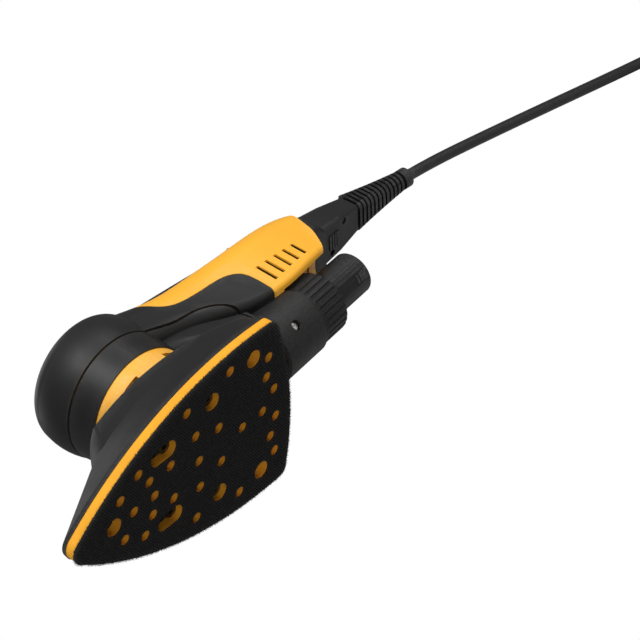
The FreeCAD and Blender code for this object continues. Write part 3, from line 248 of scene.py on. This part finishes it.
class Look:
    """One procedural material: a shader and the nodes that feed it, all in object space."""

    def __init__(self, name, color, roughness, metallic=0.0, **sockets):
        self.material = bpy.data.materials.new(name)
        self.material.use_nodes = True
        self.tree = self.material.node_tree
        self.shader = self.tree.nodes["Principled BSDF"]
        self.shader.inputs["Base Color"].default_value = (*color, 1.0)
        self.shader.inputs["Roughness"].default_value = roughness
        self.shader.inputs["Metallic"].default_value = metallic
        for key, value in sockets.items():
            self.shader.inputs[key.replace("_", " ")].default_value = value
        self.color, self.roughness = color, roughness
        self.place = self.add("ShaderNodeTexCoord").outputs["Object"]
        self.normal = None

    def add(self, kind, **fields):
        node = self.tree.nodes.new(kind)
        for key, value in fields.items():
            setattr(node, key, value)
        return node

    def link(self, a, b):
        self.tree.links.new(a, b)

    def scaled(self, scale, turn=(0.0, 0.0, 0.0)):
        """Object coordinates times scale, for a grain that differs along the axes."""
        mapping = self.add("ShaderNodeMapping")
        mapping.inputs["Scale"].default_value = scale
        mapping.inputs["Rotation"].default_value = turn
        self.link(self.place, mapping.inputs["Vector"])
        return mapping.outputs["Vector"]

    def noise(self, size, detail=3.0, vector=None):
        """Noise whose features are about size metres."""
        node = self.add("ShaderNodeTexNoise")
        node.inputs["Scale"].default_value = 1.0 / size
        node.inputs["Detail"].default_value = detail
        node.inputs["Roughness"].default_value = NOISE_ROUGHNESS
        self.link(vector or self.place, node.inputs["Vector"])
        return node.outputs["Fac"]

    def cells(self, size):
        node = self.add("ShaderNodeTexVoronoi")
        node.inputs["Scale"].default_value = 1.0 / size
        self.link(self.place, node.inputs["Vector"])
        return node.outputs["Distance"]

    def waves(self, size, turn, distortion, axis):
        """Bands across one axis, size metres apart."""
        node = self.add("ShaderNodeTexWave", wave_type="BANDS", bands_direction=axis)
        node.inputs["Scale"].default_value = WAVE_PERIOD / size
        node.inputs["Distortion"].default_value = distortion
        node.inputs["Detail"].default_value = 2.0
        self.link(self.scaled((1.0, 1.0, 1.0), turn), node.inputs["Vector"])
        return node.outputs["Fac"]

    def span(self, value, low, high, from_low=0.0, from_high=1.0):
        node = self.add("ShaderNodeMapRange")
        node.inputs["From Min"].default_value = from_low
        node.inputs["From Max"].default_value = from_high
        node.inputs["To Min"].default_value = low
        node.inputs["To Max"].default_value = high
        self.link(value, node.inputs["Value"])
        return node.outputs["Result"]

    def bump(self, height, depth, strength=1.0):
        """Stack a bump of that depth in metres on the normal."""
        node = self.add("ShaderNodeBump")
        node.inputs["Strength"].default_value = strength
        node.inputs["Distance"].default_value = depth
        self.link(height, node.inputs["Height"])
        if self.normal is not None:
            self.link(self.normal, node.inputs["Normal"])
        self.normal = node.outputs["Normal"]
        self.link(self.normal, self.shader.inputs["Normal"])
        return self

    def vary_roughness(self, value, spread):
        low, high = self.roughness - spread, self.roughness + spread
        self.link(self.span(value, low, high, 0.3, 0.7), self.shader.inputs["Roughness"])
        return self

    def paint(self, *layers):
        """Mix colours over the base: each layer is (factor, colour)."""
        last = None
        for factor, color in layers:
            mix = self.add("ShaderNodeMix", data_type="RGBA")
            if last is None:
                mix.inputs["A"].default_value = (*self.color, 1.0)
            else:
                self.link(last, mix.inputs["A"])
            mix.inputs["B"].default_value = (*color, 1.0)
            self.link(factor, mix.inputs["Factor"])
            last = mix.outputs["Result"]
        self.link(last, self.shader.inputs["Base Color"])
        return self

    def edges(self):
        """Share of edge wear: convex edges, broken up by noise."""
        geometry = self.add("ShaderNodeNewGeometry")
        product = self.add("ShaderNodeMath", operation="MULTIPLY")
        self.link(self.span(geometry.outputs["Pointiness"], 0.0, 1.0, EDGE_FROM, EDGE_TO), product.inputs[0])
        self.link(self.span(self.noise(0.0015), 0.2, 1.0, 0.35, 0.65), product.inputs[1])
        return product.outputs["Value"]


def lighter(color, share):
    return tuple(c + (1.0 - c) * share for c in color)


def darker(color, share):
    return tuple(c * (1.0 - share) for c in color)


def moulded(name, color, roughness, grain=0.0006, depth=0.00002, wear=0.05, shade=0.10, **sockets):
    """Moulded plastic with an even fine grain, slight colour drift and worn edges."""
    look = Look(name, color, roughness, **sockets)
    look.bump(look.noise(grain, 4.0), depth).bump(look.noise(0.02, 1.0), 0.0001, 0.25)
    look.vary_roughness(look.noise(0.012, 4.0), 0.05)
    drift = look.span(look.noise(0.03, 3.0), 0.0, 1.0, 0.35, 0.65)
    look.paint((drift, darker(color, shade)), (look.edges(), lighter(color, wear)))
    return look.material


def foam(name, color):
    """Closed-cell foam: small cells of several sizes, with painted shade in their hollows."""
    look = Look(name, color, 0.80, Specular_IOR_Level=0.25)
    fine, coarse = look.cells(0.00045), look.cells(0.0011)
    look.bump(fine, 0.00008).bump(coarse, 0.00006, 0.6)
    look.vary_roughness(look.noise(0.004), 0.06)
    drift = look.span(look.noise(0.02, 3.0), 0.0, 1.0, 0.35, 0.65)
    # second layer: painted shade, darker where the fine cells' bump is low, in their hollows
    look.paint((drift, darker(color, 0.10)), (look.span(fine, 0.35, 0.0, 0.0, 0.35), darker(color, 0.35)))
    return look.material


def woven(name, color, pitch, turn):
    """Fabric with a weave in rows of that pitch, turned about Z, painted shade in the grooves between the
    rows, and a soft fuzz.
    """
    look = Look(name, color, 0.80, Specular_IOR_Level=0.25, Sheen_Weight=0.25)
    rows = look.waves(pitch, (0.0, 0.0, -turn), distortion=0.6, axis="Y")
    threads = look.waves(pitch * 0.7, (0.0, 0.0, -turn), distortion=0.8, axis="X")
    look.bump(rows, 0.00012).bump(threads, 0.00006).bump(look.noise(0.0003), 0.00004)
    look.vary_roughness(look.noise(0.006), 0.06)
    # first layer: painted shade, darker where the rows' bump is low, in the grooves between them
    look.paint((look.span(rows, 0.5, 0.0), darker(color, 0.5)),
               (look.span(look.noise(0.0012), 0.0, 0.6, 0.5, 0.7), lighter(color, 0.02)))
    return look.material


def metal(name, color, roughness, grain=(1.0, 1.0, 0.05), depth=0.000006, wear=0.2):
    """Machined or cast metal with a directed grain."""
    look = Look(name, color, roughness, metallic=1.0)
    stretched = look.scaled(grain)
    look.bump(look.noise(0.0004, 4.0, vector=stretched), depth)
    look.vary_roughness(look.noise(0.002, 3.0, vector=stretched), 0.08)
    drift = look.span(look.noise(0.008, 4.0), 0.0, 1.0, 0.4, 0.7)
    look.paint((drift, darker(color, 0.25)), (look.edges(), lighter(color, wear)))
    return look.material


def make_materials():
    """The material of every slot, by the slot's name."""
    made = {name: moulded(name, **look) for name, look in MOULDED.items()}
    made["foam_yellow"] = foam("foam_yellow", (0.95, 0.44, 0.030))
    made["hook_fabric"] = woven("hook_fabric", (0.0075, 0.0070, 0.0065), ROW_PITCH * MM, ROW_TURN)
    made["tie_fabric"] = woven("tie_fabric", (0.02, 0.02, 0.022), 0.0009, 0.6)
    made.update((name, metal(name, **look)) for name, look in METALS.items())
    return made


# ---- hook pile ----------------------------------------------------------------------------------------


def arc_points(a, b, c, count):
    """Points on the circle through a, b and c, from a to c."""
    (ax, ay), (bx, by), (cx, cy) = a, b, c
    d = 2 * (ax * (by - cy) + bx * (cy - ay) + cx * (ay - by))
    a2, b2, c2 = ax * ax + ay * ay, bx * bx + by * by, cx * cx + cy * cy
    x = (a2 * (by - cy) + b2 * (cy - ay) + c2 * (ay - by)) / d
    y = (a2 * (cx - bx) + b2 * (ax - cx) + c2 * (bx - ax)) / d
    radius = math.hypot(ax - x, ay - y)
    start, middle, end = (math.atan2(q[1] - y, q[0] - x) for q in (a, b, c))
    sweep = (end - start) % (2 * math.pi)
    if (middle - start) % (2 * math.pi) > sweep:
        sweep -= 2 * math.pi
    turns = [start + sweep * i / count for i in range(count)]
    return [(x + radius * math.cos(t), y + radius * math.sin(t)) for t in turns]


def pad_edge(inset):
    """Outline of the pad, smaller by inset, as a closed row of points on the part's own arcs."""
    half, front, back = PAD_HALF - inset, -PAD_FRONT + 1.6 * inset, PAD_BACK - inset
    tip = max(TIP_HALF - 0.4 * inset, 3.0)
    reach = PAD_FRONT + PAD_BACK
    side0 = (tip, front + 3.6)
    side1 = (0.806 * PAD_HALF - 0.95 * inset, -PAD_FRONT + 0.435 * reach + 0.3 * inset)
    side2 = (half + 0.3, back - 12.0)
    corner = (half - 0.6, back - 8.2)
    rear0 = (half - 4.0, back - 6.0)

    def mirrored(p):
        return (-p[0], p[1])
    points = arc_points(mirrored(side0), (0.0, front), side0, 10)
    points += arc_points(side0, side1, side2, 60)
    points += arc_points(side2, corner, rear0, 8)
    points += arc_points(rear0, (0.0, back), mirrored(rear0), 40)
    points += arc_points(mirrored(rear0), mirrored(corner), mirrored(side2), 8)
    points += arc_points(mirrored(side2), mirrored(side1), mirrored(side0), 60)
    return points


def inside_outline(x, y, outline):
    """Which of the points x, y lie inside the outline."""
    inside = np.zeros(x.shape, dtype=bool)
    for (x0, y0), (x1, y1) in zip(outline, outline[1:] + outline[:1]):
        if y0 == y1:
            continue
        crosses = (y0 > y) != (y1 > y)
        inside ^= crosses & (x < (x1 - x0) * (y - y0) / (y1 - y0) + x0)
    return inside


def clear_of_holes(x, y, margin):
    """Which of the points keep margin from every dust hole."""
    clear = np.ones(x.shape, dtype=bool)
    holes = [(0.0, hy, kind) for hy, kind in AXIS_HOLES]
    for hx, hy, kind in PAIR_HOLES:
        holes += [(hx, hy, kind), (-hx, hy, kind)]
    for hx, hy, kind in holes:
        radius = SMALL_HOLE_R if kind == "small" else BIG_HOLE_R
        run = SLOT_LENGTH / 2 - BIG_HOLE_R if kind == "slot" else 0.0
        dy = np.maximum(np.abs(y - hy) - run, 0.0)
        clear &= np.hypot(x - hx, dy) > radius + margin
    return clear


def hook_spots(rng):
    """Places of the hooks: even rows across the sheet, with a little scatter."""
    along = np.array([math.cos(ROW_TURN), math.sin(ROW_TURN)])
    across = np.array([-along[1], along[0]])
    rows, steps = np.meshgrid(np.arange(-ROWS_EACH_WAY, ROWS_EACH_WAY) * ROW_PITCH,
                              np.arange(-HOOKS_EACH_WAY, HOOKS_EACH_WAY) * HOOK_PITCH)
    rows, steps = rows.ravel(), steps.ravel() + 0.5 * HOOK_PITCH * (np.round(rows.ravel() / ROW_PITCH) % 2)
    rows = rows + rng.normal(0.0, ROW_SCATTER, rows.size)
    steps = steps + rng.normal(0.0, HOOK_SCATTER, rows.size)
    x = steps * along[0] + rows * across[0]
    y = steps * along[1] + rows * across[1]
    keep = inside_outline(x, y, pad_edge(HOOK_EDGE_GAP)) & clear_of_holes(x, y, HOOK_HOLE_GAP)
    return x[keep], y[keep], along


def ribbons(name, starts, tips, half_widths, bends, material, body):
    """Mesh of flat curved hairs: each goes from its start over a bend point to its tip."""
    count = len(starts)
    run = tips - starts
    side = np.cross(run, np.array([0.0, 0.0, 1.0]) + 0.2 * run)
    side = side / np.linalg.norm(side, axis=1, keepdims=True) * half_widths[:, None]
    shares = (0.0, 0.35, 0.7, 1.0)
    rings = []
    for t in shares:
        centre = (1 - t) ** 2 * starts + 2 * t * (1 - t) * bends + t * t * tips
        rings += [centre - side * (1 - 0.5 * t), centre + side * (1 - 0.5 * t)]
    verts = np.stack(rings, axis=1).reshape(-1, 3) * MM
    base = (np.arange(count) * len(rings))[:, None]
    quads = [base + np.array([[2 * k, 2 * k + 1, 2 * k + 3, 2 * k + 2]]) for k in range(len(shares) - 1)]
    faces = np.stack(quads, axis=1).reshape(-1, 4)
    mesh = bpy.data.meshes.new(name)
    mesh.from_pydata(verts.tolist(), [], faces.tolist())
    mesh.materials.append(material)
    obj = bpy.data.objects.new(name, mesh)
    bpy.context.scene.collection.objects.link(obj)
    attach(obj, body)


def make_backing(material):
    """Thin backing of the hook sheet: the sheet's own outline and holes, with its lower face raised."""
    sheet = nodes["hook_sheet"]
    mesh = sheet.data.copy()
    mesh.name = "hook_backing"
    inverse = sheet.matrix_world.inverted()
    for vertex in mesh.vertices:
        place = sheet.matrix_world @ vertex.co
        if place.z < SHEET_LOW * MM:
            vertex.co = inverse @ Vector((place.x, place.y, SHEET_LOW * MM))
    mesh.materials.clear()
    mesh.materials.append(material)
    obj = bpy.data.objects.new("hook_backing", mesh)
    bpy.context.scene.collection.objects.link(obj)
    obj.matrix_world = sheet.matrix_world.copy()
    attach(obj, "pad")
    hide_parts("hook_sheet")


def make_hook_pile(material):
    """Rows of small hooks below the sheet, and a fringe of short hairs round its edge."""
    rng = np.random.default_rng(7)
    x, y, along = hook_spots(rng)
    count = x.size
    starts = np.column_stack([x, y, np.full(count, SHEET_LOW + ROOT_DEPTH)])
    lean = rng.normal(0.0, LEAN_SCATTER, (count, 2)) + HOOK_LEAN * along
    tips = starts + np.column_stack([lean, rng.uniform(*HOOK_DROP, count)])
    bends = starts + np.column_stack([lean * BEND_LEAN, np.full(count, BEND_DROP)])
    ribbons("hook_pile", starts, tips, np.full(count, HOOK_HALF_W), bends, material, "pad")

    edge = np.array(pad_edge(FRINGE_INSET))
    ahead = np.roll(edge, -1, axis=0)
    lengths = np.linalg.norm(ahead - edge, axis=1)
    pick = rng.choice(len(edge), size=FRINGE_HAIRS, p=lengths / lengths.sum())
    share = rng.uniform(0.0, 1.0, FRINGE_HAIRS)[:, None]
    spot = edge[pick] * (1 - share) + ahead[pick] * share
    run = (ahead - edge)[pick] / lengths[pick][:, None]
    outward = np.column_stack([run[:, 1], -run[:, 0]])
    starts = np.column_stack([spot, rng.uniform(SHEET_LOW, SHEET_TOP - 0.1, FRINGE_HAIRS)])
    reach = rng.uniform(*FRINGE_REACH, FRINGE_HAIRS)[:, None]
    drift = rng.normal(0.0, FRINGE_DRIFT, FRINGE_HAIRS)[:, None]
    flat = outward * reach + run * drift
    tip_z = starts[:, 2] + rng.normal(0.0, TIP_SCATTER, FRINGE_HAIRS)
    bend_z = starts[:, 2] + rng.normal(BEND_RISE, BEND_SCATTER, FRINGE_HAIRS)
    tip_z, bend_z = (np.clip(z, FRINGE_LOW_Z, FRINGE_TOP_Z) for z in (tip_z, bend_z))
    tips = np.column_stack([starts[:, :2] + flat, tip_z])
    bends = np.column_stack([starts[:, :2] + flat * BEND_REACH, bend_z])
    half_widths = np.full(FRINGE_HAIRS, FRINGE_HALF_W)
    ribbons("sheet_fringe", starts, tips, half_widths, bends, material, "pad")


# ---- painted shade in the vent slots ------------------------------------------------------------------


def between(pair, share):
    """The value at that share of the way from the first of the pair to the second."""
    return pair[0] + (pair[1] - pair[0]) * share


def handle_half(y, z):
    """Half width of the handle beside the slots."""
    share_y = (y - HANDLE_AT_Y[0]) / (HANDLE_AT_Y[1] - HANDLE_AT_Y[0])
    share_z = (z - HANDLE_AT_Z[0]) / (HANDLE_AT_Z[1] - HANDLE_AT_Z[0])
    return between((between(HANDLE_LOW_HALF, share_y), between(HANDLE_HIGH_HALF, share_y)), share_z)


def make_slot_shade(material):
    """Dark plates just inside each vent slot, bowed slightly inwards: painted shade that darkens the slots.
    """
    verts, faces = [], []
    columns = (-1.0, -0.5, 0.0, 0.5, 1.0)
    wide = len(columns)
    for side in (1, -1):
        for k in range(SLOT_COUNT):
            y = SLOT_FIRST_Y + k * SLOT_PITCH
            low, high = SLOT_LOW_Z + SLOT_LOW_STEP * k, SLOT_TOP_Z + SLOT_TOP_STEP * k
            start = len(verts)
            for i in range(SLOT_SHADE_STEPS + 1):
                z = low + (high - low) * i / SLOT_SHADE_STEPS
                for across in columns:
                    at_y = y + across * (SLOT_W / 2 - SLOT_SHADE_GAP)
                    depth = SLOT_SHADE_DEPTH + SLOT_SHADE_BOW * (1 - across * across)
                    verts.append((side * (handle_half(at_y, z) - depth) * MM, at_y * MM, z * MM))
            for i in range(SLOT_SHADE_STEPS):
                for j in range(wide - 1):
                    a = start + i * wide + j
                    b = a + wide
                    faces.append((a, a + 1, b + 1, b) if side > 0 else (a, b, b + 1, a + 1))
    mesh = bpy.data.meshes.new("vent_slot_shade")
    mesh.from_pydata(verts, [], faces)
    mesh.materials.append(material)
    obj = bpy.data.objects.new("vent_slot_shade", mesh)
    bpy.context.scene.collection.objects.link(obj)
    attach(obj, "housing")


def dress(materials):
    """Give each CAD node the procedural material of its slot."""
    for part in frame["record"]["subparts"]:
        data = nodes[part["node"]].data
        data.materials.clear()
        data.materials.append(materials[part["material_slot"]])


# ---- floor and light ----------------------------------------------------------------------------------


def make_floor():
    """Pale floor that is only there from above, so that the sole can be seen and lit from below."""
    half = FLOOR_HALF
    mesh = bpy.data.meshes.new("floor")
    corners = [(-half, -half, 0), (half, -half, 0), (half, half, 0), (-half, half, 0)]
    mesh.from_pydata(corners, [], [(0, 1, 2, 3)])
    floor = bpy.data.objects.new("floor", mesh)
    bpy.context.scene.collection.objects.link(floor)
    look = Look("floor_pale", FLOOR_COLOR, 0.8)
    look.bump(look.noise(0.01, 3.0), 0.0001)
    look.paint((look.span(look.noise(0.4, 2.0), 0.0, 0.3), FLOOR_DRIFT_COLOR))
    see_through = look.add("ShaderNodeBsdfTransparent")
    side = look.add("ShaderNodeNewGeometry")
    mix = look.add("ShaderNodeMixShader")
    look.link(side.outputs["Backfacing"], mix.inputs["Fac"])
    look.link(look.shader.outputs["BSDF"], mix.inputs[1])
    look.link(see_through.outputs["BSDF"], mix.inputs[2])
    output = [n for n in look.tree.nodes if n.type == "OUTPUT_MATERIAL"][0]
    look.link(mix.outputs["Shader"], output.inputs["Surface"])
    mesh.materials.append(look.material)
    floor.visible_shadow = False


def lamp(name, place, target, size, power):
    data = bpy.data.lights.new(name, "AREA")
    data.shape = "RECTANGLE"
    data.size, data.size_y = size
    data.energy = power
    obj = bpy.data.objects.new(name, data)
    bpy.context.scene.collection.objects.link(obj)
    obj.location = place
    obj.rotation_euler = (Vector(target) - Vector(place)).to_track_quat("-Z", "Y").to_euler()


def make_light():
    """White studio: a plain white backdrop to look at, dimmer for the light it gives, and soft lamps."""
    world = bpy.data.worlds.new("studio")
    world.use_nodes = True
    tree = world.node_tree
    backdrop = tree.nodes["Background"]
    backdrop.inputs["Color"].default_value = (1.0, 1.0, 1.0, 1.0)
    path = tree.nodes.new("ShaderNodeLightPath")
    strength = tree.nodes.new("ShaderNodeMapRange")
    strength.inputs["To Min"].default_value = FILL
    strength.inputs["To Max"].default_value = 1.0
    tree.links.new(path.outputs["Is Camera Ray"], strength.inputs["Value"])
    tree.links.new(strength.outputs["Result"], backdrop.inputs["Strength"])
    bpy.context.scene.world = world
    bpy.context.scene.view_settings.view_transform = "Standard"
    for name, (place, size, power) in LAMPS.items():
        lamp(name, place, LIT_AT, size, power)


materials = make_materials()
make_camera()
make_lead(materials["lead_rubber"])
dress(materials)
make_backing(materials["hook_fabric"])
# near-black plates in the vent slots: painted shade
make_slot_shade(materials["screen_black"])
make_hook_pile(materials["hook_fabric"])
make_floor()
make_light()
